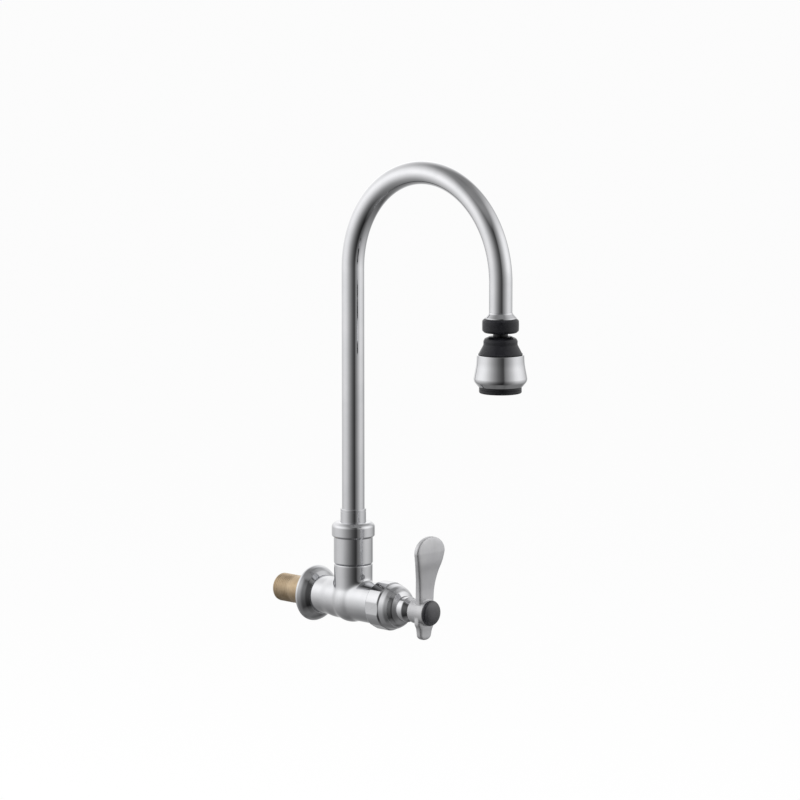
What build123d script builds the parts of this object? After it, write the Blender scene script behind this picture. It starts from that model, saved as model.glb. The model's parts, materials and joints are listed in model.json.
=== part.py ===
from build123d import *
import math
import os

# A wall-mounted gooseneck faucet with one supply, in millimetres.
# The origin is on the inlet axis in the plane of the wall. +Z is up, -Y is out of the wall,
# and +X is to the right of someone who faces the faucet.
# Three axes lie in the plane X = 0: the inlet axis along Y, the riser axis and the outlet axis along Z.

# Layout
riser_out = 41.0
reach = 150.0
arch_height = 250.0
short_leg = 21.0

# Clearances
thread_gap = 0.05
running_gap = 0.06
face_gap = 0.1
loose_gap = 0.4
ball_gap = 0.25

# Gooseneck tube
tube_radius = 8.5
tube_wall = 1.2

# Inlet nipple and wall flange
nipple_radius = 10.65
nipple_bore = 7.75
nipple_length = 36.0
nipple_chamfer = 1.2
nipple_engagement = 25.0
nipple_step = 0.35
screen_thickness = 1.0
screen_hole = 0.9
screen_pitch = 2.6
flange_width = 6.9
flange_edge = 5.6
flange_depth = 12.0
flange_wall = 1.8
flange_edge_round = 0.6
gasket_thickness = 2.0
gasket_width = 3.2
grip_section = 1.4

# Valve body
neck_radius = 14.3
body_back = 1.0
barrel_radius = 15.4
barrel_length = 28.3
swell_start = 19.0
swell_length = 6.5
swell_round = 3.0
spigot_length = 9.0
riser_radius = 14.5
riser_top = 27.6
riser_chamfer = 0.5
bulge_rise = 1.6
body_fillet = 3.0
passage_radius = 5.5
valve_seat_out = 9.0
cavity_radius = 10.0
gallery_radius = 12.4
gallery_start = 2.0
gallery_length = 8.0
counterbore_radius = 12.7
counterbore_depth = 6.1
riser_bore_depth = 14.0
riser_well_radius = 7.0
riser_well_floor = 8.0
port_radius = 2.8
port_height = 10.6

# Spout coupling
spigot_radius = 12.8
spigot_top = 38.0
coupling_gap = 0.5
spout_nut_radius = 14.7
bead_radius = 16.2
bead_bottom = 47.9
bead_rise = 0.9
nut_top = 59.6
bead_round = 3.4
shank_radius = 9.4
shank_bore = 5.6
shank_bottom = 19.0
shank_collar_radius = 12.2
shank_collar_height = 2.7
shank_plug_length = 10.0
washer_thickness = 1.1
sleeve_wall = 1.05
sleeve_top = 69.4
spout_ring_section = 0.9
spout_ring_heights = (24.0, 31.0)

# Bonnet nut and stem dome
bonnet_rise = 2.7
bonnet_flat_rise = 2.1
bonnet_edge = 1.8
bonnet_band = 13.4
bonnet_step = 1.2
bonnet_step_round = 0.6
bonnet_depth = 21.0
bonnet_collar_rise = 1.6
bonnet_shoulder_out = 2.6
bonnet_shoulder_drop = 1.0
bonnet_shoulder_round = 4.0
bonnet_front_drop = 2.5
dome_edge = 0.2
dome_length = 13.5
dome_shoulder_radius = 12.6
dome_shoulder_out = 2.4
dome_shoulder_round = 3.0
dome_crown_radius = 9.5
dome_ledge_out = 4.6
dome_crown_out = 9.7
dome_crown_round = 1.5
dome_tip_radius = 6.1
dome_hollow = 7.0

# Quarter-turn cartridge
shell_radius = 9.9
shell_chamber = 8.6
shell_neck_radius = 8.0
shell_neck_length = 18.7
shell_lift = 0.4
window_width = 8.0
window_length = 4.6
shell_ring_section = 1.1
disc_radius = 8.5
disc_thickness = 2.9
seal_thickness = 2.0
disc_port_radius = 2.0
disc_port_pitch = 5.2
notch_width = 4.4
notch_floor = 3.2
tongue_width = 3.0
tongue_height = 1.1
foot_thickness = 3.4
slip_washer_thickness = 0.6
stem_radius = 4.4
stem_ring_section = 0.7
stem_ring_places = (5.0, 10.0)
clip_thickness = 0.8
clip_radius = 6.0
clip_depth = 1.0
spline_radius = 4.0
spline_sides = 18
spline_length = 14.0

# Lever
lever_gap = 0.4
hub_radius = 9.2
hub_length = 16.8
hub_back_radius = 7.5
hub_back_slope = 2.0
socket_depth = 8.8
screw_radius = 1.9
screw_head_radius = 3.6
screw_head_height = 2.2
screw_seat_depth = 4.2
screw_engagement = 8.5
cap_radius = 9.6
cap_height = 4.4
cap_edge = 0.7
cap_plug_radius = 3.7
cap_plug_length = 1.6
blade_out = 11.0
blade_thickness = 6.0
blade_lean = 8.0
blade_root = 9.0
blade_root_half = 7.6
blade_waist = 24.0
blade_waist_half = 9.0
blade_end_half = 14.5
blade_end_height = 12.0
blade_length = 57.5
blade_round = 1.8
tail_length = 20.2
tail_half = 5.8
tail_round = 3.0

# Outlet tip and swivel collar
tip_flare_radius = 11.5
tip_flare_height = 4.7
tip_rim = 0.7
tip_thread_radius = 11.15
tip_thread_length = 4.8
tip_cup_radius = 8.2
tip_cup_depth = 1.3
tip_bore = 6.0
tip_ledge_radius = 4.8
tip_ledge_height = 7.0
tip_plug_length = 7.0
regulator_thickness = 2.8
regulator_hole = 0.8
collar_radius = 13.3
collar_height = 10.0
collar_round = 1.3
collar_lip = 7.1
collar_floor = 3.4

# Ball joint and spray head
ball_radius = 7.6
ball_above_collar_bottom = 4.6
ball_neck_radius = 5.4
stud_shank_radius = 5.0
stud_bore = 3.0
ball_seat_height = 2.0
head_cap_drop = 2.7
head_cap_height = 13.1
head_cap_crown = 3.2
head_cap_shoulder_radius = 12.2
head_cap_shoulder_drop = 6.0
head_cap_skirt_radius = 14.4
head_cap_skirt_length = 10.0
head_cap_skirt_wall = 1.8
head_cap_rim_radius = 16.0
head_cap_roof = 8.5
core_radius = 5.5
core_bore = 3.4
core_flange_thickness = 2.8
core_length = 20.0
core_ring_section = 0.85
core_ring_rise = 3.0
bell_gap = 0.2
bell_top_radius = 17.1
bell_waist_radius = 17.5
bell_waist_drop = 7.0
bell_flare_radius = 19.5
bell_flare_drop = 18.6
bell_flare_round = 3.0
bell_mouth_radius = 16.1
bell_height = 23.0
bell_wall = 1.5
bell_lip = 4.0
bell_mouth_bore = 15.0
bell_edge_round = 0.6
face_radius = 15.4
face_thickness = 4.7
face_round = 1.2
face_rim_height = 5.0
face_rim_wall = 1.6
face_hub_wall = 1.6
face_hub_height = 15.0
nozzle_count = 20
nozzle_radius = 0.7
nozzle_pitch = 11.0
aerator_radius = 6.3
aerator_height = 9.0
aerator_recess = 0.6
aerator_wall = 0.9
aerator_floor = 1.6
aerator_hole = 0.6
aerator_pitch = 1.9

# Places worked out from the sizes above
flange_radius = neck_radius + flange_width
flange_crown = flange_depth - flange_edge
bulge_radius = barrel_radius + bulge_rise
bonnet_radius = barrel_radius + bonnet_rise
bonnet_flat = barrel_radius + bonnet_flat_rise
bonnet_collar = barrel_radius + bonnet_collar_rise
outlet_out = riser_out + reach
outlet_height = arch_height - short_leg
bonnet_seat = riser_out + barrel_length
spigot_end = bonnet_seat + spigot_length
valve_seat = riser_out + valve_seat_out
counterbore_floor = spigot_end - counterbore_depth
shell_front = spigot_end + face_gap
nut_face = shell_front + face_gap
bonnet_front = bonnet_seat + running_gap + bonnet_depth
shell_end = shell_front + shell_neck_length
dome_front = bonnet_front + dome_length
disc_seat = valve_seat + seal_thickness + thread_gap
moving_face = disc_seat + disc_thickness + face_gap
foot_start = moving_face + disc_thickness + thread_gap
foot_end = foot_start + foot_thickness
chamber_end = foot_end + slip_washer_thickness + 2 * face_gap
spline_start = shell_end + loose_gap + clip_thickness + loose_gap
spline_end = spline_start + spline_length
hub_start = dome_front + lever_gap
hub_end = hub_start + hub_length
screw_seat = hub_end - screw_seat_depth
blade_centre = hub_start + blade_out
shank_shoulder = spigot_top + washer_thickness + 2 * face_gap
tube_foot = shank_shoulder + shank_collar_height + thread_gap
nut_shoulder = tube_foot + washer_thickness + 2 * face_gap
sleeve_radius = tube_radius + thread_gap + sleeve_wall
tube_bore = tube_radius - tube_wall
collar_top = outlet_height - tip_flare_height - running_gap
collar_bottom = collar_top - collar_height
ball_height = collar_bottom + ball_above_collar_bottom
cap_top = collar_bottom - head_cap_drop
cap_rim = cap_top - head_cap_height
cap_roof = cap_top - head_cap_roof
core_top = cap_roof - thread_gap
bell_top = cap_rim - bell_gap
bell_mouth = bell_top - bell_height
face_top = bell_mouth - thread_gap
face_bottom = face_top - face_thickness
hub_bore = core_radius + loose_gap + loose_gap + running_gap


def turned(corners):
    """A solid turned about Z from corners of (radius, height, rounding)."""
    points = [(radius, height) for radius, height, _ in corners]
    roundings = [rounding for _, _, rounding in corners]
    outline = Plane.XZ * FilletPolyline(points, radius=roundings, close=True)
    return revolve(make_face(outline), Axis.Z)


def rod(radius, low, high):
    """A plain cylinder on Z between two heights."""
    return Pos(0, 0, low) * Cylinder(radius, high - low, align=(Align.CENTER, Align.CENTER, Align.MIN))


def tube(outer, inner, low, high):
    """A plain tube on Z between two heights."""
    return rod(outer, low, high) - rod(inner, low, high)


def ring(middle, section, height):
    """A round-section ring about Z."""
    return Pos(0, 0, height) * Torus(middle, section)


def out_of_wall(piece):
    """Lay a piece that was made along +Z onto the inlet axis, with +Z pointing out of the wall."""
    return Rot(90, 0, 0) * piece


def on_riser(piece):
    return Pos(0, -riser_out, 0) * piece


def on_outlet(piece):
    return Pos(0, -outlet_out, 0) * piece


def round_pattern(radius, hole, count, low, high):
    """Holes on one circle about Z."""
    return [Pos(*place.position) * rod(hole, low, high) for place in PolarLocations(radius, count)]


def hex_pattern(pitch, rings):
    """Centres of a honeycomb of holes about the origin."""
    centres = []
    for across in range(-rings, rings + 1):
        for slant in range(-rings, rings + 1):
            if abs(across + slant) <= rings:
                centres.append((pitch * (across + slant / 2), pitch * slant * math.sqrt(3) / 2))
    return centres


def inlet_nipple():
    """A brass nipple with a free end behind the wall and a screwed end in the valve body."""
    screwed = nipple_radius - nipple_step
    shape = turned([
        (nipple_bore, -nipple_length, 0),
        (nipple_radius - nipple_chamfer, -nipple_length, 0),
        (nipple_radius, -nipple_length + nipple_chamfer, 0),
        (nipple_radius, 0, 0),
        (screwed, 0, 0),
        (screwed, nipple_engagement, 0),
        (nipple_bore, nipple_engagement, 0),
    ])
    return out_of_wall(shape)


def inlet_screen():
    """A perforated disc in the nipple, against the ledge of the inlet passage."""
    back = nipple_engagement - screen_thickness
    disc = rod(nipple_bore - thread_gap, back, nipple_engagement)
    holes = [Pos(x, y, 0) * rod(screen_hole, back, nipple_engagement) for x, y in hex_pattern(screen_pitch, 2)]
    return out_of_wall(disc - holes)


def wall_flange():
    """A domed cup that covers the hole in the wall and slides on the neck."""
    hole = neck_radius + thread_gap
    inner = flange_radius - flange_wall
    shape = turned([
        (inner, 0, 0),
        (flange_radius, 0, flange_edge_round),
        (flange_radius, flange_depth, flange_crown),
        (hole, flange_depth, 0),
        (hole, flange_depth - flange_wall, 0),
        (inner, flange_depth - flange_wall, flange_crown - flange_wall),
    ])
    return out_of_wall(shape)


def flange_grip_ring():
    """A rubber ring between the neck and the flange that holds the flange against the wall."""
    middle = neck_radius + thread_gap + grip_section
    arc_centre = flange_radius - flange_crown
    across = max(middle - arc_centre, 0)
    room = flange_crown - flange_wall - thread_gap - grip_section
    height = flange_edge + math.sqrt(room**2 - across**2)
    return out_of_wall(ring(middle, grip_section, height))


def wall_gasket():
    """A soft washer inside the rim of the flange, flush with the wall."""
    outer = flange_radius - flange_wall - thread_gap
    return out_of_wall(tube(outer, outer - gasket_width, 0, gasket_thickness))


def body_outside():
    """The outer form of the valve body: barrel, riser and a round swelling where they cross."""
    barrel = out_of_wall(turned([
        (0, body_back, 0),
        (neck_radius, body_back, 0),
        (neck_radius, swell_start, swell_round),
        (barrel_radius, swell_start + swell_length, swell_round),
        (barrel_radius, bonnet_seat, 0),
        (barrel_radius - nipple_step, bonnet_seat, 0),
        (barrel_radius - nipple_step, spigot_end, 0.4),
        (0, spigot_end, 0),
    ]))
    riser = on_riser(turned([
        (0, 0, 0),
        (riser_radius, 0, 0),
        (riser_radius, riser_top, riser_chamfer),
        (0, riser_top, 0),
    ]))
    shape = barrel + on_riser(Sphere(bulge_radius)) + riser
    crotch = [
        edge for edge in shape.edges()
        if edge.geom_type != GeomType.LINE
        and abs(edge.center().Y + riser_out) < riser_radius + 1
        and edge.center().Z < barrel_radius + 1
    ]
    return fillet(crotch, body_fillet)


def valve_body():
    """The cast body with the inlet passage, the cartridge chamber and the riser bore."""
    screwed = nipple_radius - nipple_step + thread_gap
    socket = rod(screwed, 0, nipple_engagement)
    passage = rod(passage_radius, 0, valve_seat)
    chamber = rod(cavity_radius, valve_seat, spigot_end)
    gallery = rod(gallery_radius, valve_seat + gallery_start, valve_seat + gallery_start + gallery_length)
    counterbore = rod(counterbore_radius, counterbore_floor, spigot_end)
    port = Pos(0, port_height, 0) * rod(port_radius, riser_out, valve_seat + gallery_start + port_radius)
    spigot = on_riser(tube(spigot_radius, shank_radius, riser_top - riser_chamfer, spigot_top))
    bore = on_riser(rod(shank_radius + running_gap, riser_bore_depth, spigot_top))
    well = on_riser(rod(riser_well_radius, riser_well_floor, riser_bore_depth))
    shape = body_outside() + spigot
    for hollow in (socket, passage, chamber, gallery, counterbore, port):
        shape -= out_of_wall(hollow)
    return shape - bore - well


def spout_nut():
    """The round coupling nut with a rounded bead at its top."""
    hole = sleeve_radius + running_gap
    thread = spigot_radius + thread_gap
    bottom = riser_top + coupling_gap
    shape = turned([
        (thread, bottom, 0),
        (spout_nut_radius, bottom, riser_chamfer),
        (spout_nut_radius, bead_bottom, 0),
        (bead_radius, bead_bottom + bead_rise, 1.2),
        (bead_radius, nut_top, bead_round),
        (hole, nut_top, 0.4),
        (hole, nut_shoulder, 0),
        (thread, nut_shoulder, 0),
    ])
    return on_riser(shape)


def lower_spout_washer():
    """A slip washer between the riser and the collar of the shank."""
    low = spigot_top + face_gap
    return on_riser(tube(shank_collar_radius, shank_radius + loose_gap, low, low + washer_thickness))


def upper_spout_washer():
    """A slip washer between the collar of the shank and the shoulder of the nut."""
    low = tube_foot + face_gap
    return on_riser(tube(shank_collar_radius, sleeve_radius + thread_gap, low, low + washer_thickness))


def spout_shank():
    """The brass end of the spout: grooved for two rings, with a collar under the nut."""
    groove = shank_radius - 2 * spout_ring_section
    shape = rod(shank_radius, shank_bottom, shank_shoulder)
    shape += rod(shank_collar_radius, shank_shoulder, shank_shoulder + shank_collar_height)
    plug_top = tube_foot + shank_plug_length
    shape += rod(tube_bore - thread_gap, shank_shoulder, plug_top)
    for height in spout_ring_heights:
        half = spout_ring_section + thread_gap
        shape -= tube(shank_radius + 1, groove, height - half, height + half)
    return on_riser(shape - rod(shank_bore, shank_bottom, plug_top))


def spout_o_rings():
    """Two rings that seal the turning shank in the riser."""
    middle = shank_radius - spout_ring_section
    rings = [ring(middle, spout_ring_section, height) for height in spout_ring_heights]
    return on_riser(Compound(children=rings))


def spout_sleeve():
    """The bright sleeve over the foot of the tube."""
    shape = turned([
        (tube_radius + thread_gap, tube_foot, 0),
        (sleeve_radius, tube_foot, 0),
        (sleeve_radius, sleeve_top, 0.6),
        (tube_radius + thread_gap, sleeve_top, 0),
    ])
    return on_riser(shape)


def gooseneck_tube():
    """The bent tube: a long leg, a half turn and a short leg."""
    foot = (0, -riser_out, tube_foot)
    left = (0, -riser_out, arch_height)
    crown = (0, -riser_out - reach / 2, arch_height + reach / 2)
    right = (0, -outlet_out, arch_height)
    end = (0, -outlet_out, outlet_height)
    path = Line(foot, left) + ThreePointArc(left, crown, right) + Line(right, end)
    section = Plane(origin=foot, z_dir=(0, 0, 1)) * (Circle(tube_radius) - Circle(tube_bore))
    shape = sweep(section, path=path)
    length = arch_height - tube_foot + math.pi * reach / 2 + short_leg
    wanted = math.pi * (tube_radius**2 - tube_bore**2) * length
    print(f"gooseneck tube: length {length:.1f} mm, volume {shape.volume:.0f} of {wanted:.0f} mm3")
    return shape


def bonnet_nut():
    """The nut that holds the cartridge: six small flats, a step and a rounded collar."""
    back = bonnet_seat + running_gap
    thread = barrel_radius - nipple_step + thread_gap
    shape = turned([
        (thread, back, 0),
        (bonnet_radius - bonnet_edge, back, 0),
        (bonnet_radius, back + bonnet_edge, 1.2),
        (bonnet_radius, back + bonnet_band, bonnet_step_round),
        (bonnet_collar, back + bonnet_band + bonnet_step, bonnet_step_round),
        (bonnet_collar - bonnet_shoulder_drop, bonnet_front - bonnet_shoulder_out, bonnet_shoulder_round),
        (bonnet_collar - bonnet_front_drop, bonnet_front, 0),
        (shell_neck_radius + loose_gap, bonnet_front, 0),
        (shell_neck_radius + loose_gap, nut_face, 0),
        (thread, nut_face, 0),
    ])
    prism = Pos(0, 0, back) * extrude(
        RegularPolygon(bonnet_flat, 6, major_radius=False, rotation=30), bonnet_depth
    )
    return out_of_wall(shape & prism)


def stem_dome():
    """The domed trim that is screwed on the neck of the cartridge."""
    back = bonnet_front + thread_gap
    shape = turned([
        (shell_neck_radius + thread_gap, back, 0),
        (bonnet_collar - bonnet_front_drop - dome_edge, back, 0),
        (dome_shoulder_radius, back + dome_shoulder_out, dome_shoulder_round),
        (dome_crown_radius, back + dome_ledge_out, 0.3),
        (dome_crown_radius, back + dome_crown_out, dome_crown_round),
        (dome_tip_radius, dome_front, 0.4),
        (stem_radius + loose_gap, dome_front, 0),
        (stem_radius + loose_gap, dome_front - 2.0, 0),
        (dome_hollow, dome_front - 2.0 - (dome_hollow - stem_radius) / 2, 0),
        (dome_hollow, shell_end + thread_gap, 0),
        (shell_neck_radius + thread_gap, shell_end + thread_gap, 0),
    ])
    return out_of_wall(shape)


def cartridge_shell():
    """The brass housing of the quarter-turn valve, with two side windows."""
    back = valve_seat + shell_lift
    shape = turned([
        (shell_chamber, back, 0),
        (shell_radius, back, 0.3),
        (shell_radius, counterbore_floor + thread_gap, 0),
        (counterbore_radius - thread_gap, counterbore_floor + thread_gap, 0),
        (counterbore_radius - thread_gap, shell_front, 0),
        (shell_neck_radius, shell_front, 0),
        (shell_neck_radius, shell_end, 0.4),
        (stem_radius + running_gap, shell_end, 0),
        (stem_radius + running_gap, chamber_end, 0),
        (shell_chamber, chamber_end, 0),
    ])
    window = Pos(0, 0, moving_face + window_length / 2) * Box(4 * shell_radius, window_width, window_length)
    groove_low = counterbore_floor - 3 * shell_ring_section
    groove_high = groove_low + 2 * (shell_ring_section + thread_gap)
    groove_floor = cavity_radius - thread_gap - 2 * shell_ring_section
    shape -= window
    shape -= tube(cavity_radius, groove_floor, groove_low, groove_high)
    return out_of_wall(shape)


def shell_o_ring():
    """The ring that seals the housing in the body."""
    middle = cavity_radius - thread_gap - shell_ring_section
    height = counterbore_floor - 2 * shell_ring_section + thread_gap
    return out_of_wall(ring(middle, shell_ring_section, height))


def seat_seal():
    """The rubber seal under the fixed disc."""
    return out_of_wall(tube(disc_radius, passage_radius + 0.5, valve_seat, valve_seat + seal_thickness))


def fixed_disc():
    """The ceramic disc that stays still, with two ports above and below the axis."""
    disc = rod(disc_radius, disc_seat, disc_seat + disc_thickness)
    ports = [
        Pos(0, side * disc_port_pitch, 0) * rod(disc_port_radius, disc_seat, disc_seat + disc_thickness)
        for side in (-1, 1)
    ]
    return out_of_wall(disc - ports)


def moving_disc():
    """The ceramic disc that turns with the stem, with two side notches and a slot for the tongue."""
    top = moving_face + disc_thickness
    disc = rod(disc_radius - running_gap, moving_face, top)
    notch_length = disc_radius
    for side in (-1, 1):
        middle = side * (notch_floor + notch_length / 2)
        disc -= Pos(middle, 0, moving_face) * Box(notch_length, notch_width, 2 * disc_thickness)
    slot_width = tongue_width + 2 * thread_gap
    disc -= Pos(0, 0, top) * Box(slot_width, 4 * disc_radius, 2 * (tongue_height + thread_gap))
    return out_of_wall(disc)


def slip_washer():
    """The low-friction washer between the foot of the stem and the housing."""
    low = foot_end + face_gap
    return out_of_wall(tube(disc_radius - loose_gap, stem_radius + thread_gap, low, low + slip_washer_thickness))


def stem_ring_heights():
    return [chamber_end + place for place in stem_ring_places]


def valve_stem():
    """The turning stem: foot and tongue, ring grooves, clip groove, splined end and screw hole."""
    foot_radius = disc_radius - loose_gap
    shape = rod(foot_radius, foot_start, foot_end) + rod(stem_radius, foot_start, spline_start)
    tongue = Pos(0, 0, foot_start - tongue_height / 2) * Box(tongue_width, 2 * foot_radius, tongue_height)
    shape += tongue & rod(foot_radius, foot_start - tongue_height, foot_start)
    shape += Pos(0, 0, spline_start) * extrude(RegularPolygon(spline_radius, spline_sides), spline_length)
    half = stem_ring_section + thread_gap
    for height in stem_ring_heights():
        shape -= tube(stem_radius + 1, stem_radius - 2 * stem_ring_section, height - half, height + half)
    clip_low = shell_end + loose_gap - thread_gap
    clip_high = clip_low + clip_thickness + 2 * thread_gap
    shape -= tube(stem_radius + 1, stem_radius - clip_depth, clip_low, clip_high)
    shape -= rod(screw_radius + thread_gap, screw_seat - screw_engagement - socket_gap() - 1, spline_end)
    return out_of_wall(shape)


def socket_gap():
    """How far the screw's seat stands from the end of the splines."""
    return screw_seat - spline_end


def stem_o_rings():
    """Two rings that seal the stem in its housing."""
    middle = stem_radius - stem_ring_section
    rings = [ring(middle, stem_ring_section, height) for height in stem_ring_heights()]
    return out_of_wall(Compound(children=rings))


def stem_clip():
    """The open ring that stops the stem from sliding into its housing."""
    low = shell_end + loose_gap
    inner = stem_radius - clip_depth + thread_gap
    shape = tube(clip_radius, inner, low, low + clip_thickness)
    mouth = Pos(0, -clip_radius, low + clip_thickness / 2) * Box(2 * inner, 2 * clip_radius, 2 * clip_thickness)
    return out_of_wall(shape - mouth)


def blade():
    """The flat paddle that rises from the hub and leans away from the wall."""
    end_start = blade_length - blade_end_height
    right_waist = (blade_waist_half, blade_waist)
    right_end = (blade_end_half, end_start)
    left_waist = (-blade_waist_half, blade_waist)
    left_end = (-blade_end_half, end_start)
    outline = Line((-blade_root_half, 0), (blade_root_half, 0))
    outline += TangentArc((blade_root_half, 0), right_waist, tangent=(0, 1))
    outline += Spline(right_waist, right_end, tangents=[(0.42, 1), (0, 1)])
    outline += EllipticalCenterArc((0, end_start), blade_end_half, blade_end_height, start_angle=0, arc_size=180)
    outline += Spline(left_end, left_waist, tangents=[(0, -1), (0.42, -1)])
    outline += TangentArc((-blade_root_half, 0), left_waist, tangent=(0, 1))
    face = make_face(outline)
    plate = extrude(face, blade_thickness / 2, both=True)
    return fillet(plate.edges().filter_by(lambda edge: edge.center().Y > 1), blade_round)


def lever_handle():
    """The lever: a round hub on the stem, a leaning paddle above and a short tail below."""
    hub = turned([
        (0, hub_start, 0),
        (hub_back_radius, hub_start, 0),
        (hub_radius, hub_start + hub_back_slope, 1.0),
        (hub_radius, hub_end, 0),
        (0, hub_end, 0),
    ])
    tail_outline = [
        (blade_root_half, blade_root),
        (-blade_root_half, blade_root),
        (-tail_half, -tail_length),
        (tail_half, -tail_length),
    ]
    tail_face = make_face(FilletPolyline(tail_outline, radius=[0, 0, tail_round, tail_round], close=True))
    bar = extrude(tail_face, blade_thickness / 2, both=True)
    bar = fillet(bar.edges().filter_by(lambda edge: edge.center().Y < 0), blade_round)
    leaning = Pos(0, blade_root, 0) * Rot(blade_lean, 0, 0) * Pos(0, -blade_root, 0) * blade()
    lower_cut = Pos(0, -blade_length, 0) * Box(6 * hub_radius, 2 * blade_length, 6 * hub_radius)
    shape = hub + Pos(0, 0, blade_centre) * (bar + (leaning - lower_cut))
    socket_floor = hub_start + socket_depth
    shape -= Pos(0, 0, hub_start) * extrude(
        RegularPolygon(spline_radius + thread_gap, spline_sides), socket_depth
    )
    shape -= rod(screw_radius + loose_gap, socket_floor, hub_end)
    shape -= rod(screw_head_radius + loose_gap, screw_seat, hub_end)
    return out_of_wall(shape)


def handle_screw():
    """The screw that holds the lever on the stem."""
    head_top = screw_seat + screw_head_height
    shape = rod(screw_head_radius, screw_seat, head_top)
    shape += rod(screw_radius, screw_seat - screw_engagement - socket_gap(), screw_seat)
    slot = Pos(0, 0, head_top) * Box(1.0, 4 * screw_head_radius, 2.0)
    return out_of_wall(shape - slot)


def screw_cap():
    """The domed cap that covers the screw."""
    back = hub_end + thread_gap
    rim = back + cap_edge
    crown = (cap_radius**2 + (cap_height - cap_edge) ** 2) / (2 * (cap_height - cap_edge))
    dome = Pos(0, 0, back + cap_height - crown) * Sphere(crown)
    shape = rod(cap_radius, back, back + cap_height + 1) & dome
    shape -= rod(cap_radius + 1, back - 2 * crown, back)
    shape += rod(cap_plug_radius, back - cap_plug_length, rim)
    return out_of_wall(shape)


def outlet_tip():
    """The flared end of the spout with a male thread for the collar."""
    top = outlet_height + tip_plug_length
    rim = outlet_height - tip_flare_height
    cup = rim + tip_cup_depth
    shape = turned([
        (tip_ledge_radius, top, 0),
        (tube_bore - thread_gap, top, 0),
        (tube_bore - thread_gap, outlet_height - thread_gap, 0),
        (tube_radius, outlet_height - thread_gap, 0),
        (tip_flare_radius, rim + tip_rim, 1.0),
        (tip_flare_radius, rim, 0),
        (tip_thread_radius, rim, 0),
        (tip_thread_radius, rim - tip_thread_length, 0),
        (tip_cup_radius, rim - tip_thread_length, 0),
        (tip_cup_radius, cup, 0),
        (tip_bore, cup, 0),
        (tip_bore, rim + tip_ledge_height, 0),
        (tip_ledge_radius, rim + tip_ledge_height, 0),
    ])
    return on_outlet(shape)


def flow_regulator():
    """The disc that limits the flow, against the ledge in the tip."""
    top = outlet_height - tip_flare_height + tip_ledge_height - thread_gap
    low = top - regulator_thickness
    disc = rod(tip_bore - thread_gap, low, top) - rod(regulator_hole * 2, low, top)
    return on_outlet(disc - round_pattern(tip_bore * 0.62, regulator_hole, 6, low, top))


def swivel_collar():
    """The black nut of the ball joint, screwed on the tip."""
    thread = tip_thread_radius + thread_gap
    floor = collar_bottom + collar_floor
    shape = turned([
        (collar_lip, collar_bottom, 0.3),
        (collar_radius, collar_bottom, collar_round),
        (collar_radius, collar_top, collar_round),
        (thread, collar_top, 0),
        (thread, floor, 0),
        (collar_lip, floor, 0),
    ])
    seat = Pos(0, 0, ball_height) * Sphere(ball_radius + ball_gap)
    return on_outlet(shape - seat)


def ball_seat():
    """The ring that the ball turns against, inside the tip."""
    cup = outlet_height - tip_flare_height + tip_cup_depth - thread_gap
    shape = tube(tip_cup_radius - thread_gap, tip_ledge_radius, cup - ball_seat_height, cup)
    return on_outlet(shape - Pos(0, 0, ball_height) * Sphere(ball_radius + ball_gap))


def ball_stud():
    """The hollow ball with its neck and screwed shank."""
    shape = Pos(0, 0, ball_height) * Sphere(ball_radius)
    shape += rod(ball_neck_radius, cap_top, ball_height)
    shape += rod(stud_shank_radius, cap_roof, cap_top)
    return on_outlet(shape - rod(stud_bore, cap_roof - 1, ball_height + ball_radius + 1))


def head_cap():
    """The black upper shell of the spray head, with a skirt that guides the bell."""
    bore = stud_shank_radius + thread_gap
    skirt_end = cap_rim - head_cap_skirt_length
    skirt_bore = head_cap_skirt_radius - head_cap_skirt_wall
    shape = turned([
        (bore, cap_top, 0),
        (head_cap_shoulder_radius, cap_top, head_cap_crown),
        (head_cap_shoulder_radius, cap_top - head_cap_shoulder_drop, 2.0),
        (head_cap_rim_radius, cap_rim, 0.4),
        (head_cap_skirt_radius, cap_rim, 0),
        (head_cap_skirt_radius, skirt_end, 0.3),
        (skirt_bore, skirt_end, 0),
        (skirt_bore, cap_roof, 1.0),
        (bore, cap_roof, 0),
    ])
    return on_outlet(shape)


def head_core():
    """The fixed core under the cap that carries the water into the hub of the spray face."""
    flange = head_cap_skirt_radius - head_cap_skirt_wall - 1.0 - thread_gap
    end = core_top - core_length
    shape = rod(flange, core_top - core_flange_thickness, core_top) + rod(core_radius, end, core_top)
    half = core_ring_section + thread_gap
    height = end + core_ring_rise
    shape -= tube(core_radius + 1, hub_bore - running_gap - 2 * core_ring_section, height - half, height + half)
    return on_outlet(shape - rod(core_bore, end, core_top))


def core_o_ring():
    """The ring that seals the core in the hub of the spray face."""
    height = core_top - core_length + core_ring_rise
    return on_outlet(ring(hub_bore - running_gap - core_ring_section, core_ring_section, height))


def spray_bell():
    """The bright bell that slides on the skirt of the cap to choose stream or spray."""
    guide = head_cap_skirt_radius + running_gap
    flare = bell_top - bell_flare_drop
    waist = bell_top - bell_waist_drop
    shape = turned([
        (guide, bell_top, 0),
        (bell_top_radius, bell_top, bell_edge_round),
        (bell_waist_radius, waist, 20.0),
        (bell_flare_radius, flare, bell_flare_round),
        (bell_mouth_radius, bell_mouth, 0.3),
        (bell_mouth_bore, bell_mouth, 0),
        (bell_mouth_bore, bell_mouth + face_rim_height, 0),
        (bell_flare_radius - bell_wall - 0.3, flare, 0.8),
        (bell_waist_radius - bell_wall, waist, 8.0),
        (guide + loose_gap, bell_top - bell_lip, 0),
        (guide, bell_top - bell_lip, 0),
    ])
    return on_outlet(shape)


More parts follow.
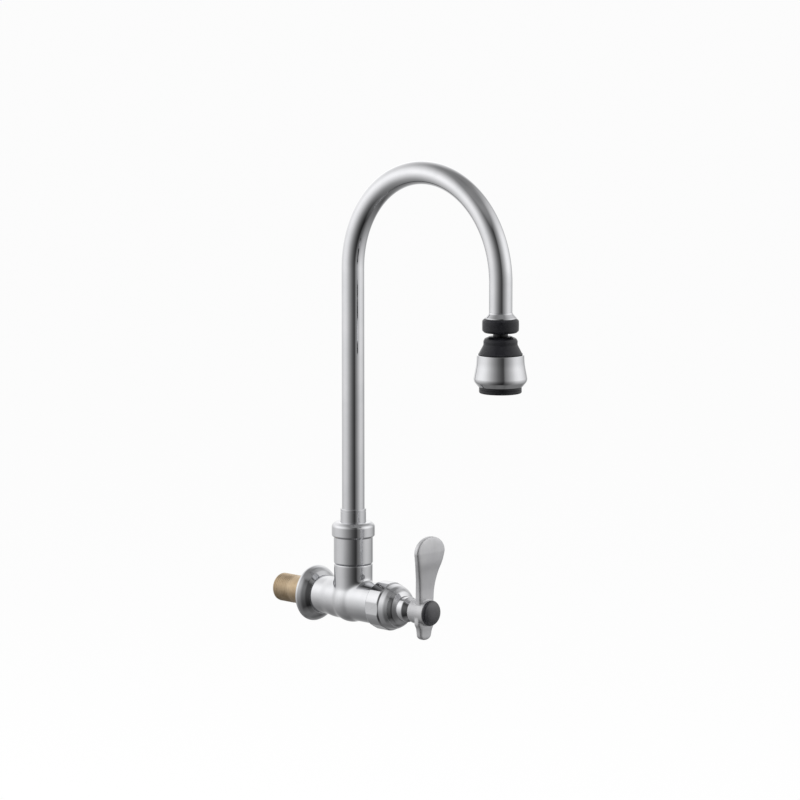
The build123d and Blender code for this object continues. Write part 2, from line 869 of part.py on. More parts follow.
def spray_face():
    """The black face with its ring of spray holes and a hub for the aerator and the core."""
    rim = bell_mouth_bore - thread_gap
    hub = hub_bore + face_hub_wall
    shape = turned([
        (hub_bore, face_bottom, 0),
        (face_radius, face_bottom, face_round),
        (face_radius, face_top, 0),
        (rim, face_top, 0),
        (rim, face_top + face_rim_height, 0),
        (rim - face_rim_wall, face_top + face_rim_height, 0),
        (rim - face_rim_wall, face_top, 1.0),
        (hub, face_top, 1.0),
        (hub, face_top + face_hub_height, 0),
        (hub_bore, face_top + face_hub_height, 0),
    ])
    return on_outlet(shape - round_pattern(nozzle_pitch, nozzle_radius, nozzle_count, face_bottom, face_top))


def aerator_insert():
    """The cup with a honeycomb floor that shapes the stream."""
    low = face_bottom + aerator_recess
    shape = rod(aerator_radius, low, low + aerator_height)
    shape -= rod(aerator_radius - aerator_wall, low + aerator_floor, low + aerator_height)
    holes = [Pos(x, y, 0) * rod(aerator_hole, low, low + aerator_floor) for x, y in hex_pattern(aerator_pitch, 2)]
    return on_outlet(shape - holes)


pieces = {
    "inlet_nipple": inlet_nipple(),
    "inlet_screen": inlet_screen(),
    "wall_flange": wall_flange(),
    "flange_grip_ring": flange_grip_ring(),
    "wall_gasket": wall_gasket(),
    "valve_body": valve_body(),
    "spout_nut": spout_nut(),
    "lower_spout_washer": lower_spout_washer(),
    "bonnet_nut": bonnet_nut(),
    "stem_dome": stem_dome(),
    "cartridge_shell": cartridge_shell(),
    "shell_o_ring": shell_o_ring(),
    "seat_seal": seat_seal(),
    "fixed_disc": fixed_disc(),
    "moving_disc": moving_disc(),
    "slip_washer": slip_washer(),
    "valve_stem": valve_stem(),
    "stem_o_rings": stem_o_rings(),
    "stem_clip": stem_clip(),
    "lever_handle": lever_handle(),
    "handle_screw": handle_screw(),
    "screw_cap": screw_cap(),
    "spout_shank": spout_shank(),
    "spout_o_rings": spout_o_rings(),
    "upper_spout_washer": upper_spout_washer(),
    "spout_sleeve": spout_sleeve(),
    "gooseneck_tube": gooseneck_tube(),
    "outlet_tip": outlet_tip(),
    "flow_regulator": flow_regulator(),
    "swivel_collar": swivel_collar(),
    "ball_seat": ball_seat(),
    "ball_stud": ball_stud(),
    "head_cap": head_cap(),
    "head_core": head_core(),
    "core_o_ring": core_o_ring(),
    "spray_bell": spray_bell(),
    "spray_face": spray_face(),
    "aerator_insert": aerator_insert(),
}

os.makedirs("parts", exist_ok=True)
for name, piece in pieces.items():
    export_step(piece, f"parts/{name}.step")
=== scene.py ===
import json
import math

import bmesh
import bpy
from mathutils import Matrix, Vector


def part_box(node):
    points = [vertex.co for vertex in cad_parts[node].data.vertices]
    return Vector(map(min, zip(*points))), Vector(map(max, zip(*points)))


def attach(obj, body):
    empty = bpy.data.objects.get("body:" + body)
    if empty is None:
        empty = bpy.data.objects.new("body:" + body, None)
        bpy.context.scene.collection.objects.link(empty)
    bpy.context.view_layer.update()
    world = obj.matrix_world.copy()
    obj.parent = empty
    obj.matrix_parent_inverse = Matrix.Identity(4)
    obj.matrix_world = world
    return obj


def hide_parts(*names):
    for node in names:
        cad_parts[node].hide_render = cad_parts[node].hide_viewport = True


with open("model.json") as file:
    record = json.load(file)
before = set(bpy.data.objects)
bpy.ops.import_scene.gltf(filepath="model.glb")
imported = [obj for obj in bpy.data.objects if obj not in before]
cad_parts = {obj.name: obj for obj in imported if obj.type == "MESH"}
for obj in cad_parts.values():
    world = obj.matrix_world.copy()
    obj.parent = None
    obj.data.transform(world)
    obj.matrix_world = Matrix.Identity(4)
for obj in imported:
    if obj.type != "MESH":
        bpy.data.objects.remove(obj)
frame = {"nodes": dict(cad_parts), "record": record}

# A wall-mounted gooseneck faucet with a lever valve and a spray head on a ball joint.
# Each piece is made along Z and then laid on its axis. Outlines are in millimetres from the wall
# or from the frame's level, and the meshes are in metres.

MM = 0.001
TURN_STEPS = 128
SMALL_TURN_STEPS = 24
ARC_STEP = math.radians(7)
SPHERE_SIDES = 96
SPHERE_RINGS = 48
SHARP_ANGLE = math.radians(35)
MERGE_DISTANCE = 0.002 * MM
FIT = 0.05

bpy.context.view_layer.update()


# Places read from the frame

def upright(node):
    """Radius, bottom and top of a node that stands upright, in millimetres."""
    low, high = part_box(node)
    return (high.x - low.x) / 2 / MM, low.z / MM, high.z / MM


def level(node):
    """Radius, back and front of a node on the inlet axis, in millimetres out of the wall."""
    low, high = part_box(node)
    return (high.x - low.x) / 2 / MM, -high.y / MM, -low.y / MM


def axis_of(node):
    """The upright axis through the middle of a node's box, as a placing matrix."""
    low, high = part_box(node)
    middle = (low + high) / 2
    return Matrix.Translation((middle.x, middle.y, 0))


INLET = Matrix.Rotation(math.radians(90), 4, "X")
RISER = axis_of("spout_nut")
OUTLET = axis_of("spray_bell")


# Mesh tools

def turned(bm, corners, steps=TURN_STEPS, closed=True):
    """Spin an outline of (radius, height, rounding) corners about Z, and give its vertices.

    An open outline starts and ends on the axis.
    """
    old = set(bm.verts)
    line = [bm.verts.new((radius * MM, 0, height * MM)) for radius, height, _ in corners]
    for start, end in zip(line, line[1:] + line[:1] if closed else line[1:]):
        bm.edges.new((start, end))
    for index, (radius, height, rounding) in enumerate(corners):
        if rounding == 0:
            continue
        before = Vector(corners[index - 1][:2])
        here = Vector((radius, height))
        after = Vector(corners[(index + 1) % len(corners)][:2])
        turn = (here - before).angle(after - here)
        bmesh.ops.bevel(
            bm, geom=[line[index]], offset=rounding * MM * math.tan(turn / 2), offset_type="OFFSET",
            segments=max(2, round(turn / ARC_STEP)), profile=0.5, affect="VERTICES", material=-1,
        )
    new = [vert for vert in bm.verts if vert not in old]
    edges = list({edge for vert in new for edge in vert.link_edges})
    bmesh.ops.spin(
        bm, geom=new + edges, cent=(0, 0, 0), axis=(0, 0, 1), angle=math.tau, steps=steps, use_merge=True,
    )
    new = [vert for vert in bm.verts if vert not in old]
    bmesh.ops.remove_doubles(bm, verts=new, dist=MERGE_DISTANCE)
    return [vert for vert in bm.verts if vert not in old]


def curve(radius, height, offsets):
    """Corners from (inward, onward, rounding): inward of a radius and onward from a height."""
    return [(radius - inward, height + onward, rounding) for inward, onward, rounding in offsets]


def groove(radius, middle, half, depth):
    """Corners of a fine groove in an upright side, from below."""
    return [(radius, middle - half, 0), (radius - depth, middle, 0), (radius, middle + half, 0)]


def only(kind, geom):
    """What a mesh operator gave of one kind, vertices or edges."""
    return [element for element in geom if isinstance(element, kind)]


def linked(name, data):
    """An object with that data, in the scene."""
    obj = bpy.data.objects.new(name, data)
    bpy.context.scene.collection.objects.link(obj)
    return obj


def mesh_object(bm, name="rough"):
    """An object of the mesh, in the scene."""
    mesh = bpy.data.meshes.new(name)
    bm.to_mesh(mesh)
    return linked(name, mesh)


def take_result(bm, rough, *helpers):
    """Take the mesh that the modifiers make, and remove the objects that made it."""
    depsgraph = bpy.context.evaluated_depsgraph_get()
    made = bpy.data.meshes.new_from_object(rough.evaluated_get(depsgraph))
    bm.clear()
    bm.from_mesh(made)
    bpy.data.meshes.remove(made)
    for obj in (rough, *helpers):
        mesh = obj.data
        bpy.data.objects.remove(obj)
        bpy.data.meshes.remove(mesh)


def soften(bm, verts, passes):
    """Move each vertex half the way to the middle of its neighbours, a few times."""
    for _ in range(passes):
        bmesh.ops.smooth_vert(
            bm, verts=verts, factor=0.5, use_axis_x=True, use_axis_y=True, use_axis_z=True)


def cast_in_one(bm, voxel, smoothing):
    """Melt overlapping forms into one skin and soften it, as in a casting."""
    bmesh.ops.recalc_face_normals(bm, faces=bm.faces)
    rough = mesh_object(bm)
    remesh = rough.modifiers.new("voxels", "REMESH")
    remesh.mode = "VOXEL"
    remesh.voxel_size = voxel
    take_result(bm, rough)
    soften(bm, bm.verts, smoothing)


def cut_away(bm, cutters):
    """Cut closed forms out of the mesh, one after the other, and free them."""
    rough = mesh_object(bm)
    tools = []
    for cutter in cutters:
        bmesh.ops.recalc_face_normals(cutter, faces=cutter.faces)
        tool = mesh_object(cutter)
        cutter.free()
        cut = rough.modifiers.new("cut", "BOOLEAN")
        cut.operation = "DIFFERENCE"
        cut.solver = "EXACT"
        cut.object = tool
        tools.append(tool)
    take_result(bm, rough, *tools)


def formed(corners, place):
    """A full turned form on its own, laid on its axis."""
    bm = bmesh.new()
    turned(bm, corners, closed=False)
    bmesh.ops.transform(bm, matrix=place, verts=bm.verts)
    return bm


def hole(start, steps, place):
    """The form of a stepped hole; each step has a radius and an end."""
    corners = [(0, start, 0)]
    for radius, end in steps:
        corners += [(radius, start, 0), (radius, end, 0)]
        start = end
    return formed(corners + [(0, start, 0)], place)


def piece(name, bm, body, slot, material, *nodes, place=Matrix.Identity(4)):
    """Make an object of the mesh, put it on its axis, hang it on its body and hide the nodes it stands
    for.
    """
    bmesh.ops.transform(bm, matrix=place, verts=bm.verts)
    bmesh.ops.recalc_face_normals(bm, faces=bm.faces)
    obj = mesh_object(bm, name)
    bm.free()
    obj.data.shade_smooth()
    obj.data.set_sharp_from_angle(angle=SHARP_ANGLE)
    obj.data.materials.append(material)
    normals = obj.modifiers.new("area_normals", "WEIGHTED_NORMAL")
    normals.keep_sharp = True
    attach(obj, body)
    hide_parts(*nodes)


# Pieces on the inlet axis

THREAD_PITCH = 1.814
THREAD_DEPTH = 0.3
THREAD_LENGTH = 17.0
THREAD_SINK = 0.2
THREAD_FOOT_SHARE = 0.46
THREAD_CREST_SHARE = 0.07
THREAD_RUNOUT = 1.2
THREAD_TURN_STEPS = 48
NIPPLE_BORE = 7.75
NIPPLE_BORE_EDGE = 0.5
NIPPLE_END_EDGE = 0.6
NIPPLE_CHAMFER = 1.3
NIPPLE_STEP = 0.35


def thread_ridge(bm, crest, start, length):
    """A helical ridge round Z that fades in and out and is sunk a little in its core."""
    root = crest - THREAD_DEPTH
    low = start + THREAD_PITCH / 2
    half = THREAD_PITCH * THREAD_FOOT_SHARE
    flat = THREAD_PITCH * THREAD_CREST_SHARE
    corners = [(root - THREAD_SINK, -half), (root, -half), (crest, -flat), (crest, flat),
               (root, half), (root - THREAD_SINK, half)]
    turns = int(length / THREAD_PITCH)
    verts = [bm.verts.new((radius * MM, 0, (low + offset) * MM)) for radius, offset in corners]
    face = bm.faces.new(verts)
    steps = turns * THREAD_TURN_STEPS
    old = set(bm.verts) - set(verts)
    bmesh.ops.spin(
        bm, geom=[face], cent=(0, 0, 0), axis=(0, 0, 1), angle=math.tau * turns, steps=steps,
        dvec=(0, 0, THREAD_PITCH * MM / THREAD_TURN_STEPS),
    )
    end = low + turns * THREAD_PITCH
    # It fades out over its last turn, and at its start it stays within the nipple's chamfer
    for vert in [vert for vert in bm.verts if vert not in old]:
        height = vert.co.z / MM
        radius = vert.co.xy.length / MM
        if radius < root + MERGE_DISTANCE:
            continue
        grown = min(1.0, max(0.0, (end - height) / THREAD_PITCH))
        limit = min(root + (crest - root) * grown, crest - NIPPLE_CHAMFER + height - start)
        kept = max(root - THREAD_SINK / 2, min(radius, limit))
        vert.co.xy *= kept / radius


def inlet_nipple(finish):
    """Brass nipple: pipe thread on its free end, a plain shank and the end that is screwed in the body."""
    radius, back, front = level("inlet_nipple")
    thread_end = back + THREAD_LENGTH
    core = radius - THREAD_DEPTH
    bm = bmesh.new()
    turned(bm, [
        (NIPPLE_BORE, back + NIPPLE_BORE_EDGE, 0),
        (NIPPLE_BORE + NIPPLE_BORE_EDGE, back, 0.1),
        (core - NIPPLE_END_EDGE, back, 0.2),
        (core, back + NIPPLE_END_EDGE, 0.2),
        (core, thread_end, 0.3),
        (radius, thread_end + THREAD_RUNOUT, 0.3),
        (radius, 0, 0),
        (radius - NIPPLE_STEP, 0, 0),
        (radius - NIPPLE_STEP, front, 0),
        (NIPPLE_BORE, front, 0),
    ])
    thread_ridge(bm, radius, back, THREAD_LENGTH)
    piece("threaded_nipple", bm, "root", "plain_brass", finish, "inlet_nipple", place=INLET)


FLANGE_WALL = 1.8
FLANGE_DEPTH = 9.4
FLANGE_HOLE = 14.35
FLANGE_LIP = 1.0
FLANGE_FLOOR = 3.0
# From its rim
FLANGE_CURVE = [(0.0, 1.4, 2.5), (1.4, 4.3, 7.0), (3.7, 7.0, 7.0)]


def wall_flange(finish):
    """Domed cup against the wall, rounding inward from its rim to the neck."""
    radius, back, _ = level("wall_flange")
    front = back + FLANGE_DEPTH
    inner = radius - FLANGE_WALL
    bm = bmesh.new()
    turned(bm, [
        (inner, back, 0.2),
        (radius - 0.1, back, 0.4),
        *curve(radius, back, FLANGE_CURVE),
        (FLANGE_HOLE + 0.4, front, 0.3),
        (FLANGE_HOLE, front - 0.2, 0.1),
        (FLANGE_HOLE, front - FLANGE_WALL - FLANGE_LIP, 0),
        (inner, back + FLANGE_FLOOR, 1.0),
    ])
    piece("flange_cup", bm, "root", "polished_chrome", finish, "wall_flange", place=INLET)


GRIP_MIDDLE = 15.75
GRIP_SECTION = 1.3
GRIP_OUT = 5.2
GRIP_SIDES = 20


def grip_ring(finish):
    """Rubber ring between the neck and the flange."""
    bm = bmesh.new()
    turns = [math.tau * side / GRIP_SIDES for side in range(GRIP_SIDES)]
    turned(bm, [
        (GRIP_MIDDLE + GRIP_SECTION * math.cos(turn), GRIP_OUT + GRIP_SECTION * math.sin(turn), 0)
        for turn in turns
    ])
    piece("grip_ring", bm, "root", "rubber", finish, "flange_grip_ring", place=INLET)


NECK = 14.3
BARREL = 15.4
SWELL_START = 19.0
SWELL_END = 25.5
SWELL_ROUNDING = 3.0
BARREL_END = 69.3
BODY_THREAD = 15.05
RISER_RADIUS = 14.5
RISER_TOP = 27.6
SPIGOT = 12.8
BULGE = 17.0
BODY_VOXEL = 0.42 * MM
BODY_SMOOTHING = 6
CROTCH_REACH = 25.0
CROTCH_PASSES = 60
CROTCH_SHRINK = 0.13
SOCKET = 10.4
SOCKET_END = 25.0
PASSAGE = 5.5
SEAT = 50.0
CHAMBER = 10.0
GALLERY = 12.4
GALLERY_START = 52.0
GALLERY_END = 60.0
COUNTERBORE = 12.7
COUNTERBORE_START = 72.2
RISER_BORE = 9.46
RISER_BORE_START = 14.0
RISER_WELL = 7.0
RISER_WELL_START = 8.0
PORT = 2.8
PORT_HEIGHT = 10.6
PORT_END = 54.8
OVERSHOOT = 1


def valve_body(finish):
    """Cast body: neck, swelling, barrel and riser melted into one, softened and then bored."""
    _, back, front = level("valve_body")
    _, _, top = upright("valve_body")
    riser = -RISER.translation.y / MM
    bm = formed([
        (0, back, 0),
        (NECK, back, 0.3),
        (NECK, SWELL_START, SWELL_ROUNDING),
        (BARREL, SWELL_END, SWELL_ROUNDING),
        (BARREL, BARREL_END, 0.3),
        (BODY_THREAD, BARREL_END, 0),
        (BODY_THREAD, front, 0.3),
        (0, front, 0),
    ], INLET)
    riser_form = turned(bm, [
        (0, 0, 0),
        (RISER_RADIUS, 0, 0),
        (RISER_RADIUS, RISER_TOP, 0.5),
        (SPIGOT, RISER_TOP, 0),
        (SPIGOT, top, 0.3),
        (0, top, 0),
    ], closed=False)
    bmesh.ops.transform(bm, matrix=RISER, verts=riser_form)
    bmesh.ops.create_uvsphere(
        bm, u_segments=SPHERE_SIDES, v_segments=SPHERE_RINGS, radius=BULGE * MM, matrix=RISER)
    cast_in_one(bm, BODY_VOXEL, BODY_SMOOTHING)
    # Each pass reaches a little less far than the one before, so the melt fades away from the crotch
    for step in range(CROTCH_PASSES):
        reach = (CROTCH_REACH - CROTCH_SHRINK * step) * MM
        near = [vert for vert in bm.verts if abs(vert.co.y + riser * MM) < reach and vert.co.z < reach]
        soften(bm, near, 1)
    cut_away(bm, [
        hole(back - OVERSHOOT, [
            (SOCKET, SOCKET_END),
            (PASSAGE, SEAT),
            (CHAMBER, GALLERY_START),
            (GALLERY, GALLERY_END),
            (CHAMBER, COUNTERBORE_START),
            (COUNTERBORE, front + OVERSHOOT),
        ], INLET),
        hole(RISER_WELL_START, [(RISER_WELL, RISER_BORE_START), (RISER_BORE, top + OVERSHOOT)], RISER),
        hole(riser, [(PORT, PORT_END)], Matrix.Translation((0, 0, PORT_HEIGHT * MM)) @ INLET),
    ])
    piece("cast_body", bm, "root", "polished_chrome", finish, "valve_body")


NUT_THREAD = 15.1
NUT_FLAT = 17.5
NUT_SIDES = 6
NUT_BACK_EDGE = 1.8
NUT_BAND = 13.4
NUT_COLLAR = 17.1
# From the front of the collar
NUT_NOSE = [(1.0, -2.6, 6.0), (2.5, 0.0, 0.1)]
NUT_FLAT_EDGE = 0.4
NUT_HOLE = 8.4
NUT_FLOOR = 9.15


def bonnet_nut(finish):
    """Nut that holds the cartridge: a round band with flats, and a collar that rounds inward."""
    _, back, front = level("bonnet_nut")
    _, low, high = upright("bonnet_nut")
    radius = (high - low) / 2
    bm = bmesh.new()
    turned(bm, [
        (NUT_THREAD, back, 0),
        (radius - NUT_BACK_EDGE, back, 0.3),
        (radius, back + NUT_BACK_EDGE, 1.2),
        (radius, back + NUT_BAND - 0.2, 0.9),
        (NUT_COLLAR, back + NUT_BAND + 1.0, 0.7),
        *curve(NUT_COLLAR, front, NUT_NOSE),
        (NUT_HOLE, front, 0),
        (NUT_HOLE, back + NUT_FLOOR, 0),
        (NUT_THREAD, back + NUT_FLOOR, 0),
    ])
    cut_edges = []
    for side in range(NUT_SIDES):
        turn = math.tau * side / NUT_SIDES
        away = Vector((math.cos(turn), math.sin(turn), 0))
        cut = bmesh.ops.bisect_plane(
            bm, geom=bm.verts[:] + bm.edges[:] + bm.faces[:],
            plane_co=away * NUT_FLAT * MM, plane_no=away, clear_outer=True,
        )
        rim = only(bmesh.types.BMEdge, cut["geom_cut"])
        bmesh.ops.holes_fill(bm, edges=rim, sides=0)
        cut_edges += rim
    bmesh.ops.bevel(
        bm, geom=[edge for edge in cut_edges if edge.is_valid], offset=NUT_FLAT_EDGE * MM,
        offset_type="OFFSET", segments=4, profile=0.5, affect="EDGES", material=-1,
    )
    piece("hex_bonnet_nut", bm, "root", "polished_chrome", finish, "bonnet_nut", place=INLET)


DOME_SHOULDER = 12.6
DOME_SHOULDER_OUT = 2.4
DOME_CROWN = 9.5
DOME_LEDGE_OUT = 4.6
DOME_CROWN_OUT = 9.7
DOME_TIP = 6.1
DOME_BORE = 8.05
DOME_MOUTH = 4.8
DOME_MOUTH_DEPTH = 2.0
DOME_BORE_DEPTH = 5.0


def stem_dome(finish):
    """Domed trim in front of the bonnet nut: it carries on the nut's curve, then a crown and a cone."""
    _, back, front = level("stem_dome")
    bm = bmesh.new()
    turned(bm, [
        (DOME_BORE, back, 0),
        (NUT_COLLAR - 2.6, back, 0.1),
        (DOME_SHOULDER, back + DOME_SHOULDER_OUT, 4.0),
        (DOME_CROWN - 0.1, back + DOME_LEDGE_OUT - 0.2, 0.2),
        (DOME_CROWN, back + DOME_LEDGE_OUT + 0.5, 0.4),
        (DOME_CROWN, back + DOME_CROWN_OUT, 1.5),
        (DOME_TIP, front, 0.5),
        (DOME_MOUTH, front, 0.2),
        (DOME_MOUTH, front - DOME_MOUTH_DEPTH, 0),
        (DOME_BORE, front - DOME_BORE_DEPTH, 0),
    ])
    piece("domed_trim", bm, "root", "polished_chrome", finish, "stem_dome", place=INLET)


# Lever

HUB_LENGTH = 16.8
HUB_RADIUS = 9.3
HUB_BACK = 7.4
HUB_SLOPE = 2.0
HUB_BORE = 4.1
RING_SIDES = 56
SQUARENESS = 4.6
LEVER_VOXEL = 0.36 * MM
LEVER_SMOOTHING = 5
BLADE_STEPS = 6
BLADE_END = 11.9
TAIL_STEPS = 4
TAIL_END = -4.0
END_STEPS = 12
END_NARROWEST = 0.04
END_THINNING = 0.35

# Stations of the lever: the height above the axis, half the width, the distance of the middle out of
# the hub's back, and half the thickness
BLADE_STATIONS = [
    (3.0, 7.4, 11.0, 3.2),
    (10.0, 7.6, 11.1, 3.1),
    (17.0, 8.0, 11.4, 3.0),
    (24.0, 9.0, 12.3, 2.9),
    (31.0, 10.8, 13.6, 2.8),
    (38.0, 13.1, 15.3, 2.8),
    (45.4, 14.8, 16.1, 2.8),
]
TAIL_STATIONS = [
    (-3.0, 8.8, 11.0, 3.2),
    (-8.4, 8.8, 11.0, 3.1),
    (-11.2, 7.3, 10.9, 3.0),
    (-13.8, 6.4, 10.6, 2.9),
    (-16.8, 5.9, 10.4, 2.8),
]


def between(stations, steps):
    """Stations on a smooth curve through the given ones, so many for each."""
    found = []
    last = len(stations) - 1
    for index in range(last):
        before, here = stations[max(index - 1, 0)], stations[index]
        there, after = stations[index + 1], stations[min(index + 2, last)]
        for step in range(steps):
            t = step / steps
            found.append([
                0.5 * (2 * b + (c - a) * t + (2 * a - 5 * b + 4 * c - d) * t**2
                       + (3 * b - a - 3 * c + d) * t**3)
                for a, b, c, d in zip(before, here, there, after)
            ])
    return found + [list(stations[-1])]


def rounded_end(station, height):
    """Stations of an elliptical end beyond a station, whose edge thins as it closes."""
    start, half, out, thick = station
    found = []
    for step in range(1, END_STEPS + 1):
        turn = math.pi / 2 * step / END_STEPS
        narrowed = max(math.cos(turn), END_NARROWEST)
        found.append(
            [start + height * math.sin(turn), half * narrowed, out, thick * narrowed**END_THINNING])
    return found


def bar(bm, stations):
    """A bar through rounded-square rings, one at each station, with closed ends."""
    loops = []
    for height, half, out, thick in stations:
        ring = bmesh.ops.create_circle(bm, cap_ends=False, segments=RING_SIDES, radius=1)["verts"]
        for vert in ring:
            across, through = vert.co.x, vert.co.y
            x = math.copysign(abs(across) ** (2 / SQUARENESS), across) * half
            z = out + math.copysign(abs(through) ** (2 / SQUARENESS), through) * thick
            vert.co = Vector((x, height, z)) * MM
        loops.append(list({edge for vert in ring for edge in vert.link_edges}))
    for lower, upper in zip(loops, loops[1:]):
        bmesh.ops.bridge_loops(bm, edges=lower + upper)
    bmesh.ops.holes_fill(bm, edges=loops[0] + loops[-1], sides=0)


def lever(finish):
    """Cast lever: a round hub, a paddle that sweeps outward and a short tail."""
    _, back, _ = level("lever_handle")
    front = back + HUB_LENGTH
    bm = bmesh.new()
    turned(bm, [
        (HUB_BORE, back, 0),
        (HUB_BACK, back, 0.5),
        (HUB_RADIUS, back + HUB_SLOPE, 1.2),
        (HUB_RADIUS, front, 0.4),
        (HUB_BORE, front, 0),
    ])
    for stations, steps, end in (
        (BLADE_STATIONS, BLADE_STEPS, BLADE_END), (TAIL_STATIONS, TAIL_STEPS, TAIL_END),
    ):
        line = between(stations, steps) + rounded_end(stations[-1], end)
        bar(bm, [(height, half, back + out, thick) for height, half, out, thick in line])
    cast_in_one(bm, LEVER_VOXEL, LEVER_SMOOTHING)
    piece("cast_lever", bm, "handle", "lever_chrome", finish, "lever_handle", place=INLET)


PLUG_LENGTH = 1.6
PLUG_RADIUS = 3.7
# From the cap's radius and front
SCREW_CAP_CROWN = [(3.6, -0.7, 5.0), (6.4, -0.05, 8.0)]


def screw_cap(finish):
    """Glossy domed cap over the screw, in a near-black colour that is painted shade."""
    radius, plug_end, front = level("screw_cap")
    back = plug_end + PLUG_LENGTH
    bm = bmesh.new()
    turned(bm, [
        (0, plug_end, 0),
        (PLUG_RADIUS, plug_end, 0.2),
        (PLUG_RADIUS, back, 0),
        (radius - 0.1, back, 0.1),
        (radius, back + 0.8, 0.6),
        (radius - 1.0, back + 2.4, 2.5),
        *curve(radius, front, SCREW_CAP_CROWN),
        (0, front, 0),
    ], closed=False)
    piece("domed_cap", bm, "handle", "black_plastic", finish, "screw_cap", place=INLET)


# Spout

COUPLING_THREAD = 12.85
COUPLING_RADIUS = 14.7
COUPLING_FOOT = 0.6
COUPLING_SHOULDER = 15.6
COUPLING_HOLE = 0.1
BEAD_HEIGHT = 11.7
# From the bead's top
BEAD_CROWN = [(0.0, -2.6, 3.0), (2.9, -0.35, 2.4)]


def spout_nut(finish):
    """Round coupling nut with a rounded foot and a fat rounded bead at its top."""
    radius, bottom, top = upright("spout_nut")
    sleeve, _, _ = upright("spout_sleeve")
    bead = top - BEAD_HEIGHT
    bm = bmesh.new()
    turned(bm, [
        (COUPLING_THREAD, bottom, 0),
        (COUPLING_RADIUS - 0.5, bottom, 0.2),
        (COUPLING_RADIUS, bottom + COUPLING_FOOT, 0.4),
        (COUPLING_RADIUS, bead - 0.1, 0.6),
        (radius, bead + 1.0, 1.1),
        *curve(radius, top, BEAD_CROWN),
        (sleeve + COUPLING_HOLE, top, 0.3),
        (sleeve + COUPLING_HOLE, top - COUPLING_SHOULDER, 0),
        (COUPLING_THREAD, top - COUPLING_SHOULDER, 0),
    ])
    piece("beaded_nut", bm, "root", "polished_chrome", finish, "spout_nut", place=RISER)


SLEEVE_FIT = 0.04
SLEEVE_GROOVE_DROP = 2.1


def spout_sleeve(finish):
    """Sleeve round the foot of the tube, with a softened top edge and a fine groove below it."""
    radius, bottom, top = upright("spout_sleeve")
    tube_radius, _, _ = upright("gooseneck_tube")
    bm = bmesh.new()
    turned(bm, [
        (tube_radius + SLEEVE_FIT, bottom, 0),
        (radius, bottom, 0.1),
        *groove(radius, top - SLEEVE_GROOVE_DROP, 0.2, 0.2),
        (radius, top, 0.55),
        (tube_radius + SLEEVE_FIT, top, 0.1),
    ])
    piece("foot_sleeve", bm, "spout", "polished_chrome", finish, "spout_sleeve", place=RISER)


TUBE_WALL = 1.2
TUBE_SIDES = 96
BEND_STEPS = 120


def gooseneck(finish):
    """Bent tube: a long leg, a half turn and a short leg, with its wall."""
    low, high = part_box("gooseneck_tube")
    radius = (high.x - low.x) / 2
    foot = RISER.translation
    far = OUTLET.translation
    bend = (far - foot).length / 2
    spring = high.z - radius - bend
    _, _, tip_top = upright("outlet_tip")
    leg_end = tip_top * MM - TIP_PLUG * MM
    bm = bmesh.new()
    bmesh.ops.create_circle(
        bm, cap_ends=False, segments=TUBE_SIDES, radius=radius,
        matrix=Matrix.Translation((*foot.xy, low.z)),
    )
    rim = bm.edges[:]
    for height in ((spring + low.z) / 2, spring):
        grown = bmesh.ops.extrude_edge_only(bm, edges=rim)["geom"]
        ring = only(bmesh.types.BMVert, grown)
        bmesh.ops.translate(bm, verts=ring, vec=(0, 0, height - ring[0].co.z))
        rim = only(bmesh.types.BMEdge, grown)
    # The bend takes the ring's own edges, not those along the leg
    rim = [edge for edge in rim if all(vert in ring for vert in edge.verts)]
    turned_round = bmesh.ops.spin(
        bm, geom=ring + rim, cent=(foot + far) / 2 + Vector((0, 0, spring)),
        axis=(1, 0, 0), angle=math.pi, steps=BEND_STEPS,
    )["geom_last"]
    last = only(bmesh.types.BMEdge, turned_round)
    grown = bmesh.ops.extrude_edge_only(bm, edges=last)["geom"]
    ring = only(bmesh.types.BMVert, grown)
    bmesh.ops.translate(bm, verts=ring, vec=(0, 0, leg_end - ring[0].co.z))
    bmesh.ops.remove_doubles(bm, verts=bm.verts, dist=MERGE_DISTANCE)
    bmesh.ops.recalc_face_normals(bm, faces=bm.faces)
    bmesh.ops.solidify(bm, geom=bm.faces[:], thickness=TUBE_WALL * MM)
    piece("bent_tube", bm, "spout", "polished_chrome", finish, "gooseneck_tube")


TIP_PLUG = 7.0
TIP_FLARE = 4.7
TIP_RIM = 0.9
TIP_THREAD = 11.15
TIP_THREAD_LENGTH = 4.8
TIP_CUP = 8.2
TIP_CUP_DEPTH = 1.3
TIP_BORE = 6.0
TIP_LEDGE = 4.8
TIP_LEDGE_HEIGHT = 7.0


def outlet_tip(finish):
    """Flared end of the spout with a bright rim over the collar."""
    radius, _, top = upright("outlet_tip")
    tube_radius, _, _ = upright("gooseneck_tube")
    mouth = top - TIP_PLUG
    rim = mouth - TIP_FLARE
    plug = tube_radius - TUBE_WALL - FIT
    bm = bmesh.new()
    turned(bm, [
        (TIP_LEDGE, top, 0),
        (plug, top, 0),
        (plug, mouth - FIT, 0),
        (tube_radius, mouth - FIT, 0.1),
        (tube_radius + 0.5, mouth - 1.2, 1.5),
        (radius - 0.25, rim + TIP_RIM + 0.25, 0.3),
        (radius, rim + TIP_RIM, 0.15),
        (radius, rim, 0.15),
        (TIP_THREAD, rim, 0),
        (TIP_THREAD, rim - TIP_THREAD_LENGTH, 0.2),
        (TIP_CUP, rim - TIP_THREAD_LENGTH, 0),
        (TIP_CUP, rim + TIP_CUP_DEPTH, 0),
        (TIP_BORE, rim + TIP_CUP_DEPTH, 0),
        (TIP_BORE, rim + TIP_LEDGE_HEIGHT, 0),
        (TIP_LEDGE, rim + TIP_LEDGE_HEIGHT, 0),
    ])
    piece("flared_tip", bm, "spout", "polished_chrome", finish, "outlet_tip", place=OUTLET)


# Spray head

COLLAR_THREAD = 11.2
COLLAR_LIP = 7.9
COLLAR_FLOOR = 3.6
